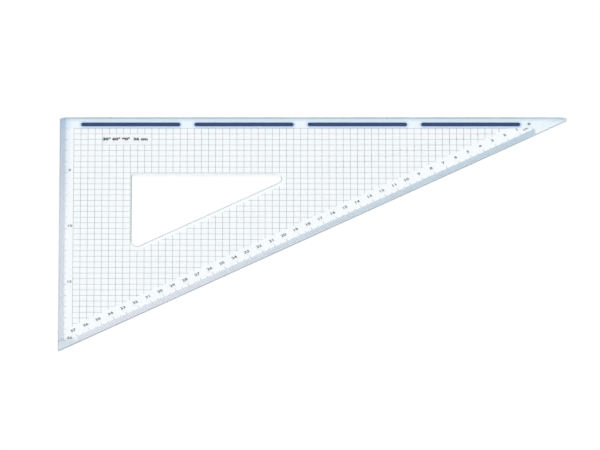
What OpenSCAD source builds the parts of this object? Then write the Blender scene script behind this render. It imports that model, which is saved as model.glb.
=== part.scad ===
// Drafting triangle: a clear acrylic set square with one right angle, lying flat.
// The long leg runs along +X at the back, the short leg runs towards -Y at the left,
// and the hypotenuse faces the front. +Z is up and the underside lies on z = 0.

/* [Plate] */
// Long leg, measured to its sharp corner
long_leg = 360; // [300:1:500]
// Angle at the far end of the long leg
tip_angle = 30; // [30, 45]
// Thickness of the acrylic sheet
plate_t = 3; // [2.4:0.1:6]
// Radius that blunts the two acute corners
corner_r = 0.8; // [0.5:0.1:4]
// Radius that blunts the right angle
square_r = 0.8; // [0.5:0.1:4]

/* [Bevelled scale edges] */
// Width of the bevel, measured inwards from the edge
bevel_w = 3.5; // [2:0.1:8]
// Thickness left at the bevelled edge
edge_t = 1.5; // [0.8:0.1:2]

/* [Window] */
// Width of the plate between the short leg and the window
window_from_short_leg = 51; // [30:0.5:65]
// Width of the plate between the long leg and the window
window_from_long_leg = 51; // [30:0.5:60]
// Width of the plate between the hypotenuse and the window
window_from_hypotenuse = 52; // [35:0.5:60]
// Corner radius at the window's right angle
window_square_r = 1.5; // [0.5:0.1:6]
// Corner radius at the window's lower corner
window_heel_r = 4; // [1:0.1:8]
// Corner radius at the window's sharp corner
window_tip_r = 4.1; // [1:0.1:5]
// Width of the slope that breaks the window's upper edge
window_break = 0.5; // [0.2:0.1:1]

/* [Grip strips] */
// Width of a strip
strip_w = 3.2; // [2:0.1:6]
// Thickness of a strip, which is also the depth of its groove
strip_t = 0.8; // [0.4:0.1:1.2]
// Distance from the long leg to the middle of the strips
strip_from_leg = 5.4; // [4:0.1:12]
// Distance from the right angle to the first strip
strip_start = 15; // [8:0.5:40]
// Distance from the last strip to the sharp corner
strip_end = 35; // [30:0.5:80]
// Gap between two strips
strip_gap = 10; // [4:0.5:30]
// Clearance on each side of a strip in its groove
strip_fit = 0.1; // [0.05:0.01:0.3]

/* [Graduations] */
// Distance between two graduation lines
tick_pitch = 1; // [1:1:5]
// Width of a graduation line
tick_w = 0.2; // [0.1:0.05:0.4]
// Thickness of the ink in a graduation line
tick_ink = 0.05; // [0.03:0.01:0.1]
// Bare margin between the edge and the graduation lines
tick_margin = 0.3; // [0:0.1:1]
// Length of a plain line on the hypotenuse
tick_short = 3; // [2:0.1:6]
// Length of every fifth line on the hypotenuse
tick_middle = 4; // [2:0.1:7]
// Length of every tenth line on the hypotenuse
tick_long = 5; // [2:0.1:9]
// Length of a plain line on the short leg
leg_tick_short = 3.9; // [2:0.1:6]
// Length of every fifth line on the short leg
leg_tick_middle = 4.5; // [2:0.1:7]
// Length of every tenth line on the short leg
leg_tick_long = 5.3; // [2:0.1:9]
// Distance from the right angle to the first line on the short leg
leg_scale_start = 2; // [2:1:20]
// Distance from the lower corner to the last line on the short leg
leg_scale_end = 7; // [6:0.5:30]
// Distance from the sharp corner to the zero of the hypotenuse scale
slope_scale_start = 28; // [20:1:60]
// Distance from the lower corner to the last line on the hypotenuse
slope_scale_end = 17; // [14:0.5:40]

/* [Hidden] */

arc_fn = 96;
// How far a cut runs past the surface that it opens, and the same for the narrow slope round the window
cut_over = 1;
rim_over = 0.2;
// A rounded corner's arc stands this far outside its sides, so that it crosses them cleanly
arc_over = 0.003;
strip_count = 4;
middle_every = 5;
long_every = 10;

short_leg = long_leg * tan(tip_angle);
hypotenuse = long_leg / cos(tip_angle);
heel_angle = 90 - tip_angle;

// How far the blunted lower corner stops short of the sharp one, straight down
heel_trim = corner_r / tan(heel_angle / 2) - corner_r;
// How far the blunted sharp corner stops short of the sharp one, along the long leg
tip_trim = corner_r / tan(tip_angle / 2) - corner_r;

// The origin is under the middle of the box round the plate
box_w = long_leg - tip_trim;
box_d = short_leg - heel_trim;
square_corner = [-box_w / 2, box_d / 2];
heel_corner = square_corner - [0, short_leg];
tip_corner = square_corner + [long_leg, 0];

// The window's sides are parallel to the plate's own
window_square = square_corner + [window_from_short_leg, -window_from_long_leg];
window_run = long_leg - window_from_short_leg
             - (window_from_long_leg * cos(tip_angle) + window_from_hypotenuse) / sin(tip_angle);
window_heel = window_square - [0, window_run * tan(tip_angle)];
window_tip = window_square + [window_run, 0];

strip_l = (long_leg - strip_start - strip_end - (strip_count - 1) * strip_gap) / strip_count;
strip_pitch = strip_l + strip_gap;

leg_scale_count = floor((short_leg - leg_scale_start - leg_scale_end) / tick_pitch);
slope_scale_count = floor((hypotenuse - slope_scale_start - slope_scale_end) / tick_pitch);
bevel_rise = (plate_t - edge_t) / bevel_w;
// Plain, fifth and tenth line of each scale
leg_ticks = [leg_tick_short, leg_tick_middle, leg_tick_long];
slope_ticks = [tick_short, tick_middle, tick_long];

outer_corners = [square_corner, heel_corner, tip_corner];
outer_radii = [square_r, corner_r, corner_r];
window_corners = [window_square, window_heel, window_tip];
window_radii = [window_square_r, window_heel_r, window_tip_r];

function unit(v) = v / norm(v);

// Directions from corner i of a triangle to the next corner and to the one before
function arms(corners, i) =
    [unit(corners[(i + 1) % 3] - corners[i]), unit(corners[(i + 2) % 3] - corners[i])];

function half_angle(corners, i) = acos(arms(corners, i)[0] * arms(corners, i)[1]) / 2;

// Where the arc at corner i meets the side to the next corner (arm 0) or to the one before (arm 1)
function arc_end(corners, radii, i, arm) =
    corners[i] + arms(corners, i)[arm] * radii[i] / tan(half_angle(corners, i));

function arc_middle(corners, radii, i) =
    corners[i] + unit(arms(corners, i)[0] + arms(corners, i)[1]) * radii[i] / sin(half_angle(corners, i));

// Triangle whose three corners are rounded by arcs that touch both sides
module rounded_triangle(corners, radii) {
    polygon([for (i = [0:2], arm = [1, 0]) arc_end(corners, radii, i, arm)]);
    for (i = [0:2])
        translate(arc_middle(corners, radii, i))
            circle(r = radii[i] + arc_over, $fn = arc_fn);
}

// Frame along an edge: x runs along the edge, y into the plate and z up
module along_edge(from, angle) {
    translate([from[0], from[1], 0])
        rotate([0, 0, angle])
            children();
}

// Profile in the y-z plane, carried a length along x
module carry(length) {
    rotate([90, 0, 90])
        linear_extrude(height = length)
            children();
}

// Wedge above a slope that climbs from a foot on the edge to the top of the plate
module slope_cut(length, width, foot, over) {
    rise = (plate_t - foot) / width;
    high = plate_t + over * rise;
    carry(length)
        polygon([[-over, foot - over * rise], [width + over, high], [-over, high]]);
}

module bevel_cut(length) {
    translate([-cut_over, 0, 0])
        slope_cut(length + 2 * cut_over, bevel_w, edge_t, cut_over);
}

// Slope round the window's upper edge: a wedge along each side and a cone at each corner
module window_break_cut() {
    foot = plate_t - window_break;
    for (i = [0:2]) {
        from = arc_end(window_corners, window_radii, (i + 1) % 3, 1);
        run = arc_end(window_corners, window_radii, i, 0) - from;
        middle = arc_middle(window_corners, window_radii, i);
        r = window_radii[i] + arc_over;
        along_edge(from, atan2(run[1], run[0]))
            slope_cut(norm(run), window_break, foot, rim_over);
        translate([middle[0], middle[1], foot - rim_over])
            cylinder(h = window_break + 2 * rim_over, r1 = r - rim_over, r2 = r + window_break + rim_over,
                     $fn = arc_fn);
    }
}

// Bar with round ends along +X, starting at x = 0 with its middle on y = 0
module round_ended_bar(length, width, height) {
    linear_extrude(height = height) {
        translate([width / 2, -width / 2])
            square([length - width, width]);
        for (x = [width / 2, length - width / 2])
            translate([x, 0])
                circle(d = width, $fn = arc_fn);
    }
}

module at_strip(i) {
    translate([square_corner[0] + strip_start + (i - 1) * strip_pitch,
               square_corner[1] - strip_from_leg, 0])
        children();
}

module triangle_plate() {
    color([0.80, 0.91, 0.98, 0.45])
    difference() {
        linear_extrude(height = plate_t)
            rounded_triangle(outer_corners, outer_radii);
        translate([0, 0, -cut_over])
            linear_extrude(height = plate_t + 2 * cut_over)
                rounded_triangle(window_corners, window_radii);
        window_break_cut();
        along_edge(square_corner, -90)
            bevel_cut(short_leg);
        along_edge(heel_corner, tip_angle)
            bevel_cut(hypotenuse);
        for (i = [1:strip_count])
            at_strip(i)
                translate([-strip_fit, 0, -cut_over])
                    round_ended_bar(strip_l + 2 * strip_fit, strip_w + 2 * strip_fit, strip_t + cut_over);
    }
}

module grip_strip(i) {
    color([0.20, 0.26, 0.43])
        at_strip(i)
            round_ended_bar(strip_l, strip_w, strip_t);
}

// Ink line that climbs the bevel and, when it is long enough, goes on over the flat top
module tick(length) {
    end = tick_margin + length;
    foot = edge_t + tick_margin * bevel_rise;
    profile = end > bevel_w
        ? [[tick_margin, foot], [bevel_w, plate_t], [end, plate_t],
           [end, plate_t + tick_ink], [bevel_w, plate_t + tick_ink], [tick_margin, foot + tick_ink]]
        : [[tick_margin, foot], [end, edge_t + end * bevel_rise],
           [end, edge_t + end * bevel_rise + tick_ink], [tick_margin, foot + tick_ink]];
    translate([-tick_w / 2, 0, 0])
        carry(tick_w)
            polygon(profile);
}

function tick_length(i, lengths) = lengths[i % long_every == 0 ? 2 : i % middle_every == 0 ? 1 : 0];

module short_leg_scale() {
    color([0.22, 0.34, 0.56])
        along_edge(square_corner, -90)
            for (i = [0:leg_scale_count])
                translate([leg_scale_start + i * tick_pitch, 0, 0])
                    tick(tick_length(leg_scale_start + i, leg_ticks));
}

module hypotenuse_scale() {
    color([0.22, 0.34, 0.56])
        along_edge(heel_corner, tip_angle)
            for (i = [0:slope_scale_count])
                translate([hypotenuse - slope_scale_start - i * tick_pitch, 0, 0])
                    tick(tick_length(i, slope_ticks));
}

triangle_plate();
grip_strip(1);  // grip_strip_1
grip_strip(2);  // grip_strip_2
grip_strip(3);  // grip_strip_3
grip_strip(4);  // grip_strip_4
short_leg_scale();
hypotenuse_scale();
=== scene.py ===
import bmesh
import bpy
import numpy as np
from bpy.props import FloatProperty, FloatVectorProperty, IntProperty, PointerProperty, StringProperty
from bpy.types import Operator, Panel, PropertyGroup
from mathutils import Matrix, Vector


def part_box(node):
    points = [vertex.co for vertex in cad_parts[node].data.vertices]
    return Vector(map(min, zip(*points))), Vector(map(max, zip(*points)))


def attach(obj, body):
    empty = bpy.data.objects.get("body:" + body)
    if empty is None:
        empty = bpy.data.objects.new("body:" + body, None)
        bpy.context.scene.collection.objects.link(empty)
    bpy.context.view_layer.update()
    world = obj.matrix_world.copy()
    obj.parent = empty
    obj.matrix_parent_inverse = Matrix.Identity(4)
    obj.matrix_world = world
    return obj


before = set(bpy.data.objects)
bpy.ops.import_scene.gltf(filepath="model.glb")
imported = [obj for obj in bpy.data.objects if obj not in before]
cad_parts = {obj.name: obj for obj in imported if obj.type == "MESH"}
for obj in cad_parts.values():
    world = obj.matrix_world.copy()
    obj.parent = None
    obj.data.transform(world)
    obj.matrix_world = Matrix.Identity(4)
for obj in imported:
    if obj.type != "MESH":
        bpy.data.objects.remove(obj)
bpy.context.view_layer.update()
PLATE_LOW, PLATE_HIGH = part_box("triangle_plate")

bl_info = {
    "name": "Drafting triangle",
    "version": (1, 0, 0),
    "blender": (4, 5, 0),
    "location": "3D View > Sidebar > Drafting triangle",
    "description": "Finish and print of a clear drafting triangle, with its floor, light and camera",
    "category": "Object",
}

MM = 0.001
CENTIMETRE = 10 * MM
DEGREE = np.pi / 180
WHITE = (1, 1, 1, 1)
BODY = "root"
STRIPS = sorted(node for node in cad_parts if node.startswith("grip_strip"))


def linear(hex_colour):
    """sRGB hex value as linear red, green and blue: a straight line near black, a 2.4 power above it."""
    shares = np.array([hex_colour >> 16 & 255, hex_colour >> 8 & 255, hex_colour & 255]) / 255
    return tuple(np.where(shares <= 0.04045, shares / 12.92, ((shares + 0.055) / 1.055) ** 2.4))


def colour(name, description, hex_colour):
    """An opaque linear colour from its sRGB hex value."""
    return FloatVectorProperty(
        name=name, description=description, default=(*linear(hex_colour), 1), size=4, subtype="COLOR",
        min=0, max=1,
    )


def length(name, description, default):
    """A size in metres that shows in the scene's own length unit."""
    return FloatProperty(name=name, description=description, default=default, unit="LENGTH", precision=5)


def angle(name, description, degrees):
    """An angle that is given in degrees."""
    return FloatProperty(name=name, description=description, default=degrees * DEGREE, subtype="ANGLE")


def number(name, description, default):
    """A number without a unit."""
    return FloatProperty(name=name, description=description, default=default)


def count(name, description, default):
    """A whole number."""
    return IntProperty(name=name, description=description, default=default)


def point(name, description, default):
    """A place in metres."""
    return FloatVectorProperty(name=name, description=description, default=default, subtype="TRANSLATION")


class PlateOutline(PropertyGroup):
    """The plate's outline and window, which the print keeps clear of."""

    long_leg: length("Long leg", "Long leg, measured to its sharp corner", 360 * MM)
    tip_angle: angle("Tip angle", "Angle at the far end of the long leg", 30)
    window_from_legs: length("Window from legs", "Plate between each leg and the window", 51 * MM)
    window_from_slope: length(
        "Window from hypotenuse", "Plate between the hypotenuse and the window", 52 * MM
    )
    window_tip_r: length("Window tip radius", "Corner radius at the window's sharp corner", 4.1 * MM)


class GridPrint(PropertyGroup):
    """The printed grid of squares."""

    pitch: length("Pitch", "Distance between two lines", 5 * MM)
    start: length("Start", "Distance from each leg to the first line", 10 * MM)
    line_w: length("Line width", "Width of a line", 0.2 * MM)
    ink_t: length("Ink thickness", "Height of the dried ink", 0.02 * MM)
    from_slope: length("From hypotenuse", "Bare border along the hypotenuse", 13 * MM)
    from_window: length("From window", "Bare border along the window's sloping side", 3.5 * MM)
    from_window_legs: length("From window legs", "Bare border along the window's other sides", 1 * MM)
    shortest: length("Shortest", "Stretches below this length are left out", 2 * MM)
    blank_left: length("Blank left", "Left side of the bare box round the number line", 30 * MM)
    blank_right: length("Blank right", "Right side of the bare box round the number line", 65 * MM)
    blank_top: length("Blank top", "Upper side of the bare box round the number line", 15 * MM)
    blank_bottom: length("Blank bottom", "Lower side of the bare box round the number line", 25 * MM)


class NumeralPrint(PropertyGroup):
    """The printed numerals."""

    ink_t: length("Ink thickness", "Height of the dried ink", 0.02 * MM)
    bold: number("Bold", "Share of the letter size added round each stroke", 0.03)
    stretch: number("Stretch", "Width of the letters against plain ones", 1.4)
    slope_height: length("Hypotenuse height", "Height of the numerals along the hypotenuse", 2.2 * MM)
    slope_zero: length("Hypotenuse zero", "Distance from the sharp corner to the zero", 28 * MM)
    slope_inset: length("Hypotenuse inset", "Distance from the hypotenuse to the numerals' middle", 9.2 * MM)
    slope_last: count("Last centimetre", "Last numeral along the hypotenuse", 37)
    unit_along: length("Unit along", "Distance from the sharp corner to the unit's middle", 32.6 * MM)
    unit_inset: length("Unit inset", "Distance from the hypotenuse to the unit's middle", 6.4 * MM)
    unit_height: length("Unit height", "Height of the unit's letters", 1.8 * MM)
    leg_height: length("Short leg height", "Height of the numerals along the short leg", 2 * MM)
    leg_inset: length("Short leg inset", "Distance from the short leg to the numerals", 6.4 * MM)
    leg_rise: length("Short leg rise", "Distance from a line up to the middle of its numeral", 2.4 * MM)
    leg_every: count("Short leg step", "Centimetres between two numerals", 5)
    leg_last: count("Short leg last", "Last numeral along the short leg", 20)
    line_text: StringProperty(
        name="Number line", description="Plain numbers in the bare box", default="30° 60° 90°  36 cm"
    )
    line_bold: number("Number line bold", "Share of the letter size added round each stroke", 0.06)
    line_stretch: number("Number line stretch", "Width of the letters against plain ones", 1.3)
    line_height: length("Number line height", "Height of the number line", 2.6 * MM)
    line_middle: length("Number line middle", "Distance from the long leg to the number line", 19.6 * MM)
    line_start: length("Number line start", "Distance from the short leg to the number line", 30.3 * MM)


class Finish(PropertyGroup):
    """Colours of the surfaces."""

    acrylic: colour("Acrylic", "Polished faces of the acrylic", 0xFFFFFF)
    # Painted shade on the hypotenuse's bevel, darker and bluer towards the long leg
    acrylic_bevel: colour("Acrylic bevel", "Bevel along the hypotenuse, close to the long leg", 0xBEDCE5)
    # Painted shade along the short leg, strongest by the right angle
    acrylic_corner: colour("Acrylic corner", "Haze along the short leg near the right angle", 0xDFE9F2)
    # Painted shade along the last millimetre of the short leg
    acrylic_edge: colour("Acrylic edge", "Thin edge of the acrylic along the short leg", 0xCDD1D8)
    acrylic_heel: colour("Acrylic heel", "Lower corner of the acrylic, past the ends of the scales", 0xDCE6EC)
    # Painted shade along the edge of the long leg
    acrylic_far: colour("Acrylic far edge", "Edge of the acrylic along the long leg", 0xE0EAEE)
    # Painted shade: a faint blue shade of the strips over the sheet round them
    acrylic_strips: colour("Acrylic round the strips", "Acrylic that takes on the strips' blue", 0xF2F8FE)
    # Painted shadow of a strip on the sheet round it
    acrylic_glow: colour("Acrylic glow", "Acrylic close to a strip", 0xCFE2F6)
    acrylic_side: colour("Acrylic sides", "Matt outer sides of the acrylic", 0xBFCBD5)
    # Painted light: the window's walls are painted paler, for the light they gather
    acrylic_rim: colour("Acrylic rim", "Finer walls of the window", 0xFCFEFF)
    # Painted shade: the same walls are painted darker where they are seen from within the sheet
    acrylic_rim_inside: colour("Acrylic rim, inside", "The same walls seen from within the sheet", 0xD9DDE1)
    # Painted shade on the slope round the window, and painted light where it faces the front
    acrylic_break: colour("Acrylic break", "Slope round the window's upper edge", 0x748998)
    acrylic_break_front: colour(
        "Acrylic break, front", "The same slope where it faces the hypotenuse", 0xE4EBF0
    )
    acrylic_depth: colour("Acrylic depth", "Colour that the acrylic takes on in thick layers", 0x7CDAF9)
    elastomer: colour("Elastomer", "Grip strips", 0x16386A)
    elastomer_pale: colour("Elastomer, pale", "Paler flow marks of the grip strips", 0x1E4075)
    edge_ink: colour("Edge ink", "Graduation lines", 0x2C5896)
    edge_ink_worn: colour("Edge ink, worn", "Thin patches of the graduation lines", 0x456DA8)
    line_ink: colour("Number line ink", "Number line", 0x1A2130)
    line_ink_worn: colour("Number line ink, worn", "Thin patches of the number line", 0x343C4C)
    numeral_ink: colour("Numeral ink", "Numerals", 0x444A54)
    numeral_ink_worn: colour("Numeral ink, worn", "Thin patches of the numerals", 0x666C77)
    grid_ink: colour("Grid ink", "Grid lines", 0x555A63)
    grid_ink_worn: colour("Grid ink, worn", "Thin patches of the grid lines", 0x7B8088)


class Studio(PropertyGroup):
    """Floor, light and camera."""

    floor: colour("Floor", "Plain pale floor", 0xFFFFFF)
    floor_size: length("Floor size", "Side of the square floor", 60.0)
    floor_gap: length("Floor gap", "Air left between the floor and the plate", 0.1 * MM)
    floor_glow: number("Floor glow", "Share of the floor's look that is its own", 0.5)
    zenith: number("Zenith", "Brightness of the sky overhead", 0.6)
    horizon: number("Horizon", "Brightness of the sky at the horizon", 0.57)
    ends: number("Ends", "What the sky gains in front and behind", 0.55)
    lamp_power: FloatProperty(name="Lamp", description="Power of the soft lamp", default=124, unit="POWER")
    lamp_size: length("Lamp size", "Side of the soft lamp", 6.0)
    lamp_place: point("Lamp place", "Middle of the soft lamp", (-2.4, -2.0, 5.2))
    elevation: angle("Elevation", "Camera above the floor", 51.65)
    distance: length("Distance", "From the camera to what it looks at", 14.0)
    target: point("Target", "Point in the middle of the picture", (-9.4 * MM, 9 * MM, 0))
    view_width: length("View width", "Width of the picture at that point", 422 * MM)


class TriangleSettings(PropertyGroup):
    """All settings of the drafting triangle."""

    plate: PointerProperty(type=PlateOutline)
    grid: PointerProperty(type=GridPrint)
    numerals: PointerProperty(type=NumeralPrint)
    finish: PointerProperty(type=Finish)
    studio: PointerProperty(type=Studio)


def add_node(tree, kind, sockets=None, **settings):
    """Adds a node with its settings. A socket takes a value, or a link where it is given another socket."""
    node = tree.nodes.new(kind)
    for name, value in settings.items():
        setattr(node, name, value)
    for name, value in (sockets or {}).items():
        if isinstance(value, bpy.types.NodeSocket):
            tree.links.new(value, node.inputs[name])
        else:
            node.inputs[name].default_value = value
    return node


def empty_material(name):
    """A material with nothing in it but its output, and its node tree."""
    material = bpy.data.materials.new(name)
    material.use_nodes = True
    material.node_tree.nodes.clear()
    return material, material.node_tree, add_node(material.node_tree, "ShaderNodeOutputMaterial")


def on_plate(across, down):
    """Places on the plate's upper face, measured across from the short leg and down from the long leg."""
    return np.stack(np.broadcast_arrays(PLATE_LOW.x + across, PLATE_HIGH.y - down), axis=-1)


def window_ends(plate):
    """How far across the window's tip lies and how far down its heel, both measured to sharp corners."""
    sin, cos = np.sin(plate.tip_angle), np.cos(plate.tip_angle)
    reach = plate.long_leg * sin - plate.window_from_slope
    return (reach - plate.window_from_legs * cos) / sin, (reach - plate.window_from_legs * sin) / cos


def plate_edges(plate):
    """The plate's three edges: for each, the direction into the plate and where the edge lies along it."""
    sin, cos = np.sin(plate.tip_angle), np.cos(plate.tip_angle)
    slope = PLATE_HIGH.y * cos - (PLATE_LOW.x + plate.long_leg) * sin
    return ((1, 0, 0), PLATE_LOW.x), ((0, -1, 0), -PLATE_HIGH.y), ((-sin, cos, 0), slope)


# How level a face of the plate lies, by its normal along Z: 0 on a wall, about 0.7 on the slope round the
# window, about 0.9 on a bevel and 1 on a flat face
WALL_BELOW = 0.4
CUT_RANGE = {"From Min": 0.85, "From Max": 0.75}
SLOPING_RANGE = {"From Min": 0.99, "From Max": 0.95}
# Slopes that face the front, by their normal along Y
FRONT_RANGE = {"From Min": -0.1, "From Max": -0.3}

# Ramps over the plate: the axis of each, where it starts and where it is full
RAMPS = {
    "bevel": ("Y", -63 * MM, 83 * MM),
    "short_edge_shade": ("X", PLATE_LOW.x + 0.9 * MM, PLATE_LOW.x + 0.4 * MM),
    "heel": ("Y", PLATE_LOW.y + 11 * MM, PLATE_LOW.y + 8 * MM),
    "far_edge_shade": ("Y", PLATE_HIGH.y - 2.7 * MM, PLATE_HIGH.y - 2 * MM),
    "strip_row_shade": ("Y", PLATE_HIGH.y - 12 * MM, PLATE_HIGH.y - 7 * MM),
    "leg_shade_across": ("X", PLATE_LOW.x + 9 * MM, PLATE_LOW.x + 3.5 * MM),
    "leg_shade_up": ("Y", 0, 85 * MM),
}

# How far a strip's painted shadow reaches past its sides, and how far it is shifted towards the hypotenuse
STRIP_SHADOW_REACH = 2.2 * MM
STRIP_SHADOW_LEAN = Vector((0, 0.7 * MM, 0))
# A height that nothing on the plate reaches
NO_LIMIT = 1.0

ACRYLIC_IOR = 1.49
ACRYLIC_DENSITY = 13.0
# Handling marks lie in patches, and the polished faces are rougher there
SMEAR_SIZE = 25 * MM
POLISH_RANGE = {"From Min": 0.3, "From Max": 0.75, "To Min": 0.08, "To Max": 0.2}
SATIN_ROUGHNESS = 0.4
MATT_ROUGHNESS = 0.45
# Share of the light that goes through the outer sides, and through the window's walls
CUT_CLEARNESS = {"To Min": 0.35, "To Max": 0.15}
# Hairlines run along the long leg, and the turn keeps the noise's own lattice from lying along them
HAIRLINE_LENGTH = 12 * MM
HAIRLINE_GAP = 0.4 * MM
HAIRLINE_TURN = 0.2
# The cutter leaves upright marks on the sides
CUTTER_GAP = 0.2 * MM
# Strength of the hairlines, and of the cutter's marks
RELIEF_STRENGTH = {"To Min": 0.01, "To Max": 0.08}
RELIEF_HEIGHT = 0.05 * MM


def window_walls(tree, place, level, plate):
    """The window's own walls: upright faces that lie well inside all three edges of the plate."""
    walls = add_node(tree, "ShaderNodeMath", {0: level, 1: WALL_BELOW}, operation="LESS_THAN")
    for inwards, edge in plate_edges(plate):
        along = add_node(tree, "ShaderNodeVectorMath", {0: place, 1: inwards}, operation="DOT_PRODUCT")
        inside = add_node(
            tree, "ShaderNodeMath", {0: along.outputs["Value"], 1: edge + plate.window_from_legs / 2},
            operation="GREATER_THAN",
        )
        walls = add_node(
            tree, "ShaderNodeMath", {0: walls.outputs[0], 1: inside.outputs[0]}, operation="MULTIPLY"
        )
    return walls.outputs[0]


def strip_glow(tree, place, strip):
    """Painted blue shadow round a strip, which falls off with the distance from the strip's middle line."""
    low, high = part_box(strip)
    half_w = (high.y - low.y) / 2
    half_line = Vector(((high.x - low.x) / 2 - half_w, 0, NO_LIMIT))
    offset = add_node(
        tree, "ShaderNodeVectorMath", {0: place, 1: (low + high) / 2 - STRIP_SHADOW_LEAN}, operation="SUBTRACT"
    )
    aside = add_node(tree, "ShaderNodeVectorMath", {0: offset.outputs[0]}, operation="ABSOLUTE")
    beyond = add_node(
        tree, "ShaderNodeVectorMath", {0: aside.outputs[0], 1: half_line}, operation="SUBTRACT"
    )
    apart = add_node(
        tree, "ShaderNodeVectorMath", {0: beyond.outputs[0], 1: (0, 0, 0)}, operation="MAXIMUM"
    )
    away = add_node(tree, "ShaderNodeVectorMath", {0: apart.outputs[0]}, operation="LENGTH")
    near = add_node(
        tree, "ShaderNodeMapRange",
        {"Value": away.outputs["Value"], "From Min": half_w + STRIP_SHADOW_REACH, "From Max": half_w},
    )
    return near.outputs[0]


def sheet_tint(tree, place, front, finish, scale_zero):
    """Tint of the faces and bevels: the plain sheet, times one colour for each part that is tinted, mostly
    painted shade.
    """
    spot = add_node(tree, "ShaderNodeSeparateXYZ", {0: place})
    ramps = {}
    for name, (axis, start, full) in RAMPS.items():
        ramp = add_node(
            tree, "ShaderNodeMapRange", {"Value": spot.outputs[axis], "From Min": start, "From Max": full}
        )
        ramps[name] = ramp.outputs[0]
    # Painted shade: the front bevel is painted darker and bluer towards the long leg, and not past the
    # scale's zero
    graduated = add_node(
        tree, "ShaderNodeMath", {0: spot.outputs["X"], 1: scale_zero}, operation="LESS_THAN"
    )
    bevel = add_node(tree, "ShaderNodeMath", {0: front, 1: ramps["bevel"]}, operation="MULTIPLY")
    bevel = add_node(
        tree, "ShaderNodeMath", {0: bevel.outputs[0], 1: graduated.outputs[0]}, operation="MULTIPLY"
    )
    # Painted shade lies along the short leg, strongest by the right angle
    leg_shade = add_node(
        tree, "ShaderNodeMath", {0: ramps["leg_shade_across"], 1: ramps["leg_shade_up"]}, operation="MULTIPLY"
    )
    # Painted shade: the sheet is painted darker close to its legs and faintly blue along the row of strips.
    # It is also darker in its lower corner
    shades = [
        (bevel.outputs[0], finish.acrylic_bevel),
        (ramps["short_edge_shade"], finish.acrylic_edge),
        (ramps["heel"], finish.acrylic_heel),
        (ramps["far_edge_shade"], finish.acrylic_far),
        (ramps["strip_row_shade"], finish.acrylic_strips),
        (leg_shade.outputs[0], finish.acrylic_corner),
    ]
    # Painted shadow: each strip darkens the sheet round it with blue, mostly on the side of the hypotenuse
    shades += [(strip_glow(tree, place, strip), finish.acrylic_glow) for strip in STRIPS]
    tint = finish.acrylic
    for share, shade in shades:
        shaded = add_node(
            tree, "ShaderNodeMix", {0: share, 6: tint, 7: shade}, data_type="RGBA", blend_type="MULTIPLY"
        )
        tint = shaded.outputs[2]
    return tint


def cut_tint(tree, level, front, walls, finish):
    """Tint of the cut faces: the outer sides, the slope round the window and the window's walls, with painted
    light and shade on the last two.
    """
    # Painted light and shade: the slope round the window is dark, and pale where it faces the front
    slope = add_node(
        tree, "ShaderNodeMix", {0: front, 6: finish.acrylic_break, 7: finish.acrylic_break_front},
        data_type="RGBA",
    )
    broken = add_node(tree, "ShaderNodeMath", {0: level, 1: WALL_BELOW}, operation="GREATER_THAN")
    outer = add_node(
        tree, "ShaderNodeMix", {0: broken.outputs[0], 6: finish.acrylic_side, 7: slope.outputs[2]},
        data_type="RGBA",
    )
    # Painted light and shade: the window's walls are painted pale from outside and darker seen from within
    within = add_node(tree, "ShaderNodeNewGeometry")
    wall = add_node(
        tree, "ShaderNodeMix",
        {0: within.outputs["Backfacing"], 6: finish.acrylic_rim, 7: finish.acrylic_rim_inside},
        data_type="RGBA",
    )
    matt = add_node(
        tree, "ShaderNodeMix", {0: walls, 6: outer.outputs[2], 7: wall.outputs[2]}, data_type="RGBA"
    )
    return matt.outputs[2]


def sheet_relief(tree, place, cut):
    """Bump of the sheet: faint hairlines on its faces, and the cutter's upright marks on its sides."""
    drawn = add_node(
        tree, "ShaderNodeMapping",
        {
            "Vector": place, "Rotation": (0, 0, HAIRLINE_TURN),
            "Scale": (1 / HAIRLINE_LENGTH, 1 / HAIRLINE_GAP, 0),
        },
    )
    hairlines = add_node(
        tree, "ShaderNodeTexNoise", {"Vector": drawn.outputs[0], "Scale": 1.0, "Detail": 2.0}
    )
    upright = add_node(
        tree, "ShaderNodeMapping", {"Vector": place, "Scale": (1 / CUTTER_GAP, 1 / CUTTER_GAP, 0)}
    )
    marks = add_node(
        tree, "ShaderNodeTexNoise", {"Vector": upright.outputs[0], "Scale": 1.0, "Detail": 1.0}
    )
    relief = add_node(
        tree, "ShaderNodeMix", {0: cut, 2: hairlines.outputs[0], 3: marks.outputs[0]}, data_type="FLOAT"
    )
    strength = add_node(tree, "ShaderNodeMapRange", {"Value": cut, **RELIEF_STRENGTH})
    bump = add_node(
        tree, "ShaderNodeBump",
        {"Height": relief.outputs[0], "Strength": strength.outputs[0], "Distance": RELIEF_HEIGHT},
    )
    return bump.outputs[0]


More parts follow.
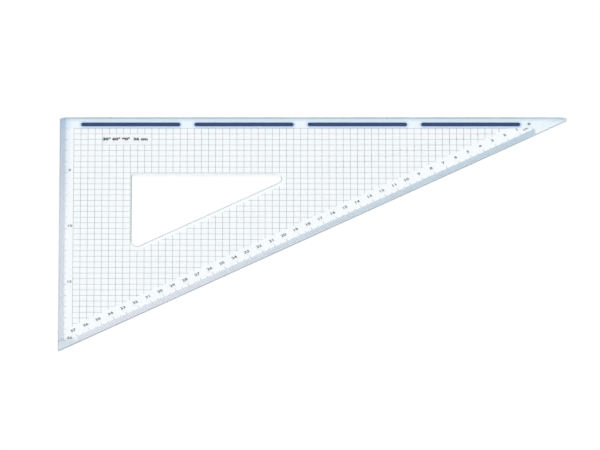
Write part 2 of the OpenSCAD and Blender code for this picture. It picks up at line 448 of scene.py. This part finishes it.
def cast_acrylic(finish, plate, scale_zero):
    """Cast acrylic: clear polished faces with faint hairlines, satin bevels and matt cut sides."""
    material, tree, output = empty_material("cast_acrylic")
    coordinates = add_node(tree, "ShaderNodeTexCoord")
    place = coordinates.outputs["Object"]
    facing = add_node(tree, "ShaderNodeSeparateXYZ", {0: coordinates.outputs["Normal"]})
    level = add_node(tree, "ShaderNodeMath", {0: facing.outputs["Z"]}, operation="ABSOLUTE").outputs[0]
    cut = add_node(tree, "ShaderNodeMapRange", {"Value": level, **CUT_RANGE}).outputs[0]
    sloping = add_node(tree, "ShaderNodeMapRange", {"Value": level, **SLOPING_RANGE}).outputs[0]
    front = add_node(tree, "ShaderNodeMapRange", {"Value": facing.outputs["Y"], **FRONT_RANGE}).outputs[0]
    walls = window_walls(tree, place, level, plate)
    polished = sheet_tint(tree, place, front, finish, scale_zero)
    matt = cut_tint(tree, level, front, walls, finish)
    tint = add_node(tree, "ShaderNodeMix", {0: cut, 6: polished, 7: matt}, data_type="RGBA")
    smears = add_node(
        tree, "ShaderNodeTexNoise", {"Vector": place, "Scale": 1 / SMEAR_SIZE, "Detail": 3.0}
    )
    polish = add_node(tree, "ShaderNodeMapRange", {"Value": smears.outputs[0], **POLISH_RANGE})
    # The bevels are milled, so they are left satin
    satin = add_node(
        tree, "ShaderNodeMix", {0: sloping, 2: polish.outputs[0], 3: SATIN_ROUGHNESS}, data_type="FLOAT"
    )
    roughness = add_node(
        tree, "ShaderNodeMix", {0: cut, 2: satin.outputs[0], 3: MATT_ROUGHNESS}, data_type="FLOAT"
    )
    # The matt sides scatter most of the light
    scattered = add_node(tree, "ShaderNodeMapRange", {"Value": walls, **CUT_CLEARNESS})
    clearness = add_node(
        tree, "ShaderNodeMix", {0: cut, 2: 1.0, 3: scattered.outputs[0]}, data_type="FLOAT"
    )
    surface = add_node(
        tree, "ShaderNodeBsdfPrincipled",
        {
            "Base Color": tint.outputs[2], "Roughness": roughness.outputs[0], "IOR": ACRYLIC_IOR,
            "Transmission Weight": clearness.outputs[0], "Normal": sheet_relief(tree, place, cut),
        },
    )
    body = add_node(
        tree, "ShaderNodeVolumeAbsorption", {"Color": finish.acrylic_depth, "Density": ACRYLIC_DENSITY}
    )
    # Light on its way to what lies under the plate goes straight through
    ray = add_node(tree, "ShaderNodeLightPath")
    through = add_node(tree, "ShaderNodeBsdfTransparent")
    sheet = surface
    for kind in ("Is Shadow Ray", "Is Diffuse Ray"):
        sheet = add_node(
            tree, "ShaderNodeMixShader", {0: ray.outputs[kind], 1: sheet.outputs[0], 2: through.outputs[0]}
        )
    tree.links.new(sheet.outputs[0], output.inputs["Surface"])
    tree.links.new(body.outputs[0], output.inputs["Volume"])
    return material


POLYMER_IOR = 1.5
# The strips' compound flows along them, which leaves long, narrow marks
FLOW_LENGTH = 9 * MM
FLOW_W = 1 * MM
ELASTOMER_ROUGHNESS = {"To Min": 0.5, "To Max": 0.75}
ELASTOMER_SPECULAR = 0.15
GRAIN_SIZE = 0.3 * MM
GRAIN_STRENGTH = 0.35
GRAIN_HEIGHT = 0.05 * MM


def moulded_elastomer(finish):
    """Moulded elastomer: a dull, dense navy with flow marks and a fine skin grain."""
    material, tree, output = empty_material("moulded_elastomer")
    place = add_node(tree, "ShaderNodeTexCoord").outputs["Object"]
    along = add_node(
        tree, "ShaderNodeMapping", {"Vector": place, "Scale": (1 / FLOW_LENGTH, 1 / FLOW_W, 1 / FLOW_W)}
    )
    flow = add_node(tree, "ShaderNodeTexNoise", {"Vector": along.outputs[0], "Scale": 1.0, "Detail": 3.0})
    skin = add_node(
        tree, "ShaderNodeMix", {0: flow.outputs[0], 6: finish.elastomer, 7: finish.elastomer_pale},
        data_type="RGBA",
    )
    dullness = add_node(tree, "ShaderNodeMapRange", {"Value": flow.outputs[0], **ELASTOMER_ROUGHNESS})
    grain = add_node(
        tree, "ShaderNodeTexNoise", {"Vector": place, "Scale": 1 / GRAIN_SIZE, "Detail": 2.0}
    )
    bump = add_node(
        tree, "ShaderNodeBump",
        {"Height": grain.outputs[0], "Strength": GRAIN_STRENGTH, "Distance": GRAIN_HEIGHT},
    )
    surface = add_node(
        tree, "ShaderNodeBsdfPrincipled",
        {
            "Base Color": skin.outputs[2], "Roughness": dullness.outputs[0], "IOR": POLYMER_IOR,
            "Specular IOR Level": ELASTOMER_SPECULAR, "Normal": bump.outputs[0],
        },
    )
    tree.links.new(surface.outputs[0], output.inputs["Surface"])
    return material


# The film is thin in patches, and the mesh leaves its fine weave all over it
PATCH_SIZE = 4 * MM
THIN_RANGE = {"From Min": 0.4, "From Max": 0.75}
INK_ROUGHNESS = {"To Min": 0.35, "To Max": 0.6}
WEAVE_SIZE = 0.1 * MM
WEAVE_STRENGTH = 0.2
WEAVE_HEIGHT = 0.01 * MM


def screen_ink(name, full, worn):
    """Screen ink: a thin, half-matt film that is paler where the mesh laid down less of it."""
    material, tree, output = empty_material(name)
    place = add_node(tree, "ShaderNodeTexCoord").outputs["Object"]
    patches = add_node(
        tree, "ShaderNodeTexNoise", {"Vector": place, "Scale": 1 / PATCH_SIZE, "Detail": 3.0}
    )
    thin = add_node(tree, "ShaderNodeMapRange", {"Value": patches.outputs[0], **THIN_RANGE})
    film = add_node(tree, "ShaderNodeMix", {0: thin.outputs[0], 6: full, 7: worn}, data_type="RGBA")
    gloss = add_node(tree, "ShaderNodeMapRange", {"Value": patches.outputs[0], **INK_ROUGHNESS})
    weave = add_node(
        tree, "ShaderNodeTexNoise", {"Vector": place, "Scale": 1 / WEAVE_SIZE, "Detail": 1.0}
    )
    bump = add_node(
        tree, "ShaderNodeBump",
        {"Height": weave.outputs[0], "Strength": WEAVE_STRENGTH, "Distance": WEAVE_HEIGHT},
    )
    surface = add_node(
        tree, "ShaderNodeBsdfPrincipled",
        {
            "Base Color": film.outputs[2], "Roughness": gloss.outputs[0], "IOR": POLYMER_IOR,
            "Normal": bump.outputs[0],
        },
    )
    tree.links.new(surface.outputs[0], output.inputs["Surface"])
    return material


def pale_paper(studio):
    """Pale paper: an even white that keeps the object's shadow and is clear from below."""
    material, tree, output = empty_material("pale_paper")
    card = add_node(tree, "ShaderNodeBsdfDiffuse", {"Color": studio.floor})
    # What the camera sees of the floor, also by reflection or through the plate, is partly its own glow
    ray = add_node(tree, "ShaderNodeLightPath")
    seen = ray.outputs["Is Camera Ray"]
    for kind in ("Is Glossy Ray", "Is Transmission Ray"):
        either = add_node(tree, "ShaderNodeMath", {0: seen, 1: ray.outputs[kind]}, operation="MAXIMUM")
        seen = either.outputs[0]
    share = add_node(tree, "ShaderNodeMath", {0: seen, 1: studio.floor_glow}, operation="MULTIPLY")
    shine = add_node(tree, "ShaderNodeEmission", {"Color": studio.floor, "Strength": 1.0})
    paper = add_node(
        tree, "ShaderNodeMixShader", {0: share.outputs[0], 1: card.outputs[0], 2: shine.outputs[0]}
    )
    # Seen from below the floor is clear, so that the underside can be looked at
    below = add_node(tree, "ShaderNodeNewGeometry")
    clear = add_node(tree, "ShaderNodeBsdfTransparent")
    one_sided = add_node(
        tree, "ShaderNodeMixShader",
        {0: below.outputs["Backfacing"], 1: paper.outputs[0], 2: clear.outputs[0]},
    )
    tree.links.new(one_sided.outputs[0], output.inputs["Surface"])
    return material


def studio_sky(studio):
    """A plain white sky, brighter overhead than at the horizon, and brightest in front and behind."""
    world = bpy.data.worlds.new("studio")
    world.use_nodes = True
    sky = world.node_tree
    sky.nodes.clear()
    direction = add_node(sky, "ShaderNodeTexCoord")
    part = add_node(sky, "ShaderNodeSeparateXYZ", {0: direction.outputs["Generated"]})
    rising = add_node(
        sky, "ShaderNodeMapRange",
        {"Value": part.outputs["Z"], "To Min": studio.horizon, "To Max": studio.zenith},
    )
    ends = add_node(sky, "ShaderNodeMath", {0: part.outputs["Y"]}, operation="ABSOLUTE")
    glow = add_node(
        sky, "ShaderNodeMath", {0: ends.outputs[0], 1: studio.ends, 2: rising.outputs[0]},
        operation="MULTIPLY_ADD",
    )
    light = add_node(sky, "ShaderNodeBackground", {"Color": WHITE, "Strength": glow.outputs[0]})
    add_node(sky, "ShaderNodeOutputWorld", {"Surface": light.outputs[0]})
    return world


def paint(node, material):
    """Gives a CAD node one material in place of its packed one."""
    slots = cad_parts[node].data.materials
    slots.clear()
    slots.append(material)


def printed_piece(name, points, faces, material):
    """Makes a new piece of print from its points and faces, which rides on the plate."""
    mesh = bpy.data.meshes.new(name)
    mesh.from_pydata(points.tolist(), [], faces)
    mesh.materials.append(material)
    piece = bpy.data.objects.new(name, mesh)
    bpy.context.scene.collection.objects.link(piece)
    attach(piece, BODY)


def stretches(starts, ends, cuts, shortest):
    """What is left of straight lines: each runs from its start to its end, less its cuts in order."""
    begins = np.column_stack([starts, *[cut_end for _, cut_end in cuts]])
    stops = np.column_stack([*[cut_start for cut_start, _ in cuts], ends])
    line, stretch = np.nonzero(stops - begins > shortest)
    return line, begins[line, stretch], stops[line, stretch]


def grid_lines(plate, grid):
    """Where the grid's lines begin and stop: between the bare borders, less the blank box and the window."""
    sin, cos = np.sin(plate.tip_angle), np.cos(plate.tip_angle)
    reach = plate.long_leg * sin - grid.from_slope
    bare_reach = plate.long_leg * sin - plate.window_from_slope + grid.from_window
    window = plate.window_from_legs
    window_tip, window_heel = window_ends(plate)
    # The window's rounded tip ends short of its sharp corner
    short = plate.window_tip_r * (1 / np.tan(plate.tip_angle / 2) - 1)
    tip_end = window_tip - short + grid.from_window
    stop = window - grid.from_window_legs

    # Lines down the plate. One that lies on the edge of the blank box stays whole
    across = np.arange(grid.start, plate.long_leg, grid.pitch)
    ends = (reach - across * sin) / cos
    starts = np.full_like(across, grid.start)
    blank = (across > grid.blank_left + grid.line_w) & (across < grid.blank_right - grid.line_w)
    cut = (across > window) & (across < tip_end)
    box = (np.where(blank, grid.blank_top, starts), np.where(blank, grid.blank_bottom, starts))
    hole = (np.where(cut, stop, ends), np.where(cut, (bare_reach - across * sin) / cos, ends))
    line, begin, end = stretches(starts, ends, [box, hole], grid.shortest)
    down_lines = on_plate(across[line], begin), on_plate(across[line], end)

    # Lines across the plate, cut in the same way
    down = np.arange(grid.start, plate.long_leg * sin / cos, grid.pitch)
    ends = (reach - down * cos) / sin
    starts = np.full_like(down, grid.start)
    blank = (down > grid.blank_top + grid.line_w) & (down < grid.blank_bottom - grid.line_w)
    cut = (down > window) & (down < window_heel)
    box = (np.where(blank, grid.blank_left, starts), np.where(blank, grid.blank_right, starts))
    past = np.minimum((bare_reach - down * cos) / sin, tip_end)
    hole = (np.where(cut, stop, ends), np.where(cut, past, ends))
    line, begin, end = stretches(starts, ends, [box, hole], grid.shortest)
    across_lines = on_plate(begin, down[line]), on_plate(end, down[line])

    begins = np.concatenate([down_lines[0], across_lines[0]])
    stops = np.concatenate([down_lines[1], across_lines[1]])
    return begins, stops


# Width of a ribbon's top against its foot
RIBBON_TOP = 0.8


def ribbons(begins, stops, width, height):
    """Flat ribbons: a low trapezium, narrower at its top, carried straight from each begin to its stop."""
    run = (stops - begins) / np.linalg.norm(stops - begins, axis=1, keepdims=True)
    aside = np.stack([-run[:, 1], run[:, 0]], axis=1)
    offsets = width / 2 * np.array([-1, -RIBBON_TOP, RIBBON_TOP, 1])
    rises = height * np.array([0, 1, 1, 0])
    ends = np.stack([begins, stops], axis=1)
    corners = len(offsets)
    points = np.empty((len(begins), 2, corners, 3))
    points[..., :2] = ends[:, :, None] + aside[:, None, None] * offsets[None, None, :, None]
    points[..., 2] = PLATE_HIGH.z + rises
    corner = np.arange(corners)
    after = np.roll(corner, -1)
    sides = np.stack([corner, corner + corners, after + corners, after], axis=1)
    caps = np.stack([corner, corner[::-1] + corners])
    quads = np.concatenate([sides, caps])
    faces = quads + 2 * corners * np.arange(len(begins))[:, None, None]
    return points.reshape(-1, 3), faces.reshape(-1, corners).tolist()


# Steps in each segment of a letter's outline, and the gap below which two points become one
LETTER_STEPS = 3
WELD_GAP = 1e-5
# Half of a label's thickness before it is scaled to the ink's
HALF_SLAB = 0.5
MIDDLE = 0.5


def label(text, bold):
    """A label in letters of unit size, as a closed slab one unit thick round z = 0: its points and faces."""
    curve = bpy.data.curves.new("label", "FONT")
    curve.body = text
    curve.offset = bold
    curve.extrude = HALF_SLAB
    curve.resolution_u = LETTER_STEPS
    holder = bpy.data.objects.new("label", curve)
    bpy.context.scene.collection.objects.link(holder)
    mesh = bpy.data.meshes.new_from_object(holder.evaluated_get(bpy.context.evaluated_depsgraph_get()))
    bpy.data.objects.remove(holder)
    bpy.data.curves.remove(curve)
    shell = bmesh.new()
    shell.from_mesh(mesh)
    bmesh.ops.remove_doubles(shell, verts=shell.verts, dist=WELD_GAP)
    bmesh.ops.recalc_face_normals(shell, faces=shell.faces)
    shell.to_mesh(mesh)
    shell.free()
    points = np.empty(len(mesh.vertices) * 3)
    mesh.vertices.foreach_get("co", points)
    faces = [list(polygon.vertices) for polygon in mesh.polygons]
    bpy.data.meshes.remove(mesh)
    return points.reshape(-1, 3), faces


def labels(texts, places, height, ink_t, bold, stretch, turn=0.0, before=MIDDLE):
    """Labels turned by one angle and joined in one mesh. Each has a share of its width before its place."""
    zero, _ = label("0", bold)
    scale = height / np.ptp(zero[:, 1]) * np.array([stretch, 1])
    cos, sin = np.cos(turn), np.sin(turn)
    all_points, all_faces, total = [], [], 0
    for text, place in zip(texts, places):
        points, faces = label(text, bold)
        low, high = points[:, :2].min(0), points[:, :2].max(0)
        flat = points[:, :2] - low - (high - low) * np.array([before, MIDDLE])
        flat = flat * scale @ np.array([[cos, sin], [-sin, cos]]) + place
        rise = PLATE_HIGH.z + (points[:, 2:] + HALF_SLAB) * ink_t
        all_points.append(np.hstack([flat, rise]))
        all_faces += [[corner + total for corner in face] for face in faces]
        total += len(points)
    return np.concatenate(all_points), all_faces


class DRAFTING_OT_plate(Operator):
    """Finish the clear plate"""

    bl_idname = "drafting.plate"
    bl_label = "Acrylic plate"

    def execute(self, context):
        settings = context.scene.drafting
        plate = settings.plate
        scale_zero = PLATE_LOW.x + plate.long_leg - settings.numerals.slope_zero * np.cos(plate.tip_angle)
        paint("triangle_plate", cast_acrylic(settings.finish, plate, scale_zero))
        return {"FINISHED"}


class DRAFTING_OT_strips(Operator):
    """Finish the grip strips"""

    bl_idname = "drafting.strips"
    bl_label = "Grip strips"

    def execute(self, context):
        material = moulded_elastomer(context.scene.drafting.finish)
        for node in STRIPS:
            paint(node, material)
        return {"FINISHED"}


class DRAFTING_OT_edge_scales(Operator):
    """Finish the graduation lines on the bevelled edges"""

    bl_idname = "drafting.edge_scales"
    bl_label = "Edge scales"

    def execute(self, context):
        finish = context.scene.drafting.finish
        material = screen_ink("edge_screen_ink", finish.edge_ink, finish.edge_ink_worn)
        paint("short_leg_scale", material)
        paint("hypotenuse_scale", material)
        return {"FINISHED"}


class DRAFTING_OT_grid(Operator):
    """Print the grid of squares"""

    bl_idname = "drafting.grid"
    bl_label = "Printed grid"

    def execute(self, context):
        settings = context.scene.drafting
        grid, finish = settings.grid, settings.finish
        begins, stops = grid_lines(settings.plate, grid)
        points, faces = ribbons(begins, stops, grid.line_w, grid.ink_t)
        ink = screen_ink("grid_screen_ink", finish.grid_ink, finish.grid_ink_worn)
        printed_piece("printed_grid", points, faces, ink)
        return {"FINISHED"}


class DRAFTING_OT_numerals(Operator):
    """Print the numerals of both scales and the number line"""

    bl_idname = "drafting.numerals"
    bl_label = "Printed numerals"

    def execute(self, context):
        settings = context.scene.drafting
        plate, numerals, finish = settings.plate, settings.numerals, settings.finish
        ink = screen_ink("numeral_screen_ink", finish.numeral_ink, finish.numeral_ink_worn)
        sin, cos = np.sin(plate.tip_angle), np.cos(plate.tip_angle)

        def inside_slope(along, inset):
            """Places at distances along the hypotenuse from its sharp corner and inwards from it."""
            return on_plate(plate.long_leg - along * cos - inset * sin, along * sin - inset * cos)

        plain = {"ink_t": numerals.ink_t, "bold": numerals.bold, "stretch": numerals.stretch}
        marks = np.arange(numerals.slope_last + 1)
        places = inside_slope(numerals.slope_zero + marks * CENTIMETRE, numerals.slope_inset)
        texts = [str(mark) for mark in marks]
        points, faces = labels(texts, places, numerals.slope_height, **plain, turn=plate.tip_angle)
        printed_piece("slope_numerals", points, faces, ink)

        place = inside_slope(np.array([numerals.unit_along]), numerals.unit_inset)
        points, faces = labels(["cm"], place, numerals.unit_height, **plain, turn=plate.tip_angle)
        printed_piece("unit_mark", points, faces, ink)

        marks = np.arange(numerals.leg_every, numerals.leg_last + 1, numerals.leg_every)
        places = on_plate(numerals.leg_inset, marks * CENTIMETRE - numerals.leg_rise)
        texts = [str(mark) for mark in marks]
        points, faces = labels(texts, places, numerals.leg_height, **plain, before=0)
        printed_piece("leg_numerals", points, faces, ink)

        place = on_plate(np.array([numerals.line_start]), numerals.line_middle)
        points, faces = labels(
            [numerals.line_text], place, numerals.line_height, numerals.ink_t, numerals.line_bold,
            numerals.line_stretch, before=0,
        )
        ink = screen_ink("number_line_screen_ink", finish.line_ink, finish.line_ink_worn)
        printed_piece("number_line", points, faces, ink)
        return {"FINISHED"}


# How far the camera sees, against its distance
VIEW_REACH = 3


class DRAFTING_OT_stage(Operator):
    """Set up the floor, the light and the camera"""

    bl_idname = "drafting.stage"
    bl_label = "Stage"

    def execute(self, context):
        scene = context.scene
        studio = scene.drafting.studio
        scene.view_settings.view_transform = "Standard"
        scene.world = studio_sky(studio)

        half = studio.floor_size / 2
        corners = np.array([(-half, -half), (half, -half), (half, half), (-half, half)])
        level = np.full((4, 1), PLATE_LOW.z - studio.floor_gap)
        mesh = bpy.data.meshes.new("floor")
        mesh.from_pydata(np.hstack([corners, level]).tolist(), [], [[0, 1, 2, 3]])
        mesh.materials.append(pale_paper(studio))
        floor = bpy.data.objects.new("floor", mesh)
        scene.collection.objects.link(floor)

        lamp = bpy.data.lights.new("soft_lamp", "AREA")
        lamp.energy = studio.lamp_power
        lamp.size = studio.lamp_size
        soft = bpy.data.objects.new("soft_lamp", lamp)
        soft.location = studio.lamp_place
        soft.rotation_euler = Vector(studio.lamp_place).to_track_quat("Z", "Y").to_euler()
        scene.collection.objects.link(soft)

        camera = bpy.data.cameras.new("camera")
        camera.lens = studio.distance * camera.sensor_width / studio.view_width
        camera.clip_end = VIEW_REACH * studio.distance
        eye = bpy.data.objects.new("camera", camera)
        back = Vector((0, -np.cos(studio.elevation), np.sin(studio.elevation)))
        eye.location = Vector(studio.target) + back * studio.distance
        eye.rotation_euler = back.to_track_quat("Z", "Y").to_euler()
        scene.collection.objects.link(eye)
        scene.camera = eye
        return {"FINISHED"}


class DRAFTING_PT_panel(Panel):
    """Lists the pieces of the drafting triangle"""

    bl_label = "Drafting triangle"
    bl_idname = "DRAFTING_PT_panel"
    bl_space_type = "VIEW_3D"
    bl_region_type = "UI"
    bl_category = "Drafting triangle"

    def draw(self, context):
        for operator in OPERATORS:
            self.layout.operator(operator.bl_idname)


OPERATORS = (
    DRAFTING_OT_stage,
    DRAFTING_OT_plate,
    DRAFTING_OT_strips,
    DRAFTING_OT_edge_scales,
    DRAFTING_OT_grid,
    DRAFTING_OT_numerals,
)
GROUPS = (PlateOutline, GridPrint, NumeralPrint, Finish, Studio, TriangleSettings)
CLASSES = (*GROUPS, *OPERATORS, DRAFTING_PT_panel)


def register():
    for cls in CLASSES:
        bpy.utils.register_class(cls)
    bpy.types.Scene.drafting = PointerProperty(type=TriangleSettings)


def unregister():
    del bpy.types.Scene.drafting
    for cls in reversed(CLASSES):
        bpy.utils.unregister_class(cls)


def main():
    register()
    bpy.ops.drafting.stage()
    bpy.ops.drafting.plate()
    bpy.ops.drafting.strips()
    bpy.ops.drafting.edge_scales()
    bpy.ops.drafting.grid()
    bpy.ops.drafting.numerals()


if __name__ == "__main__":
    main()
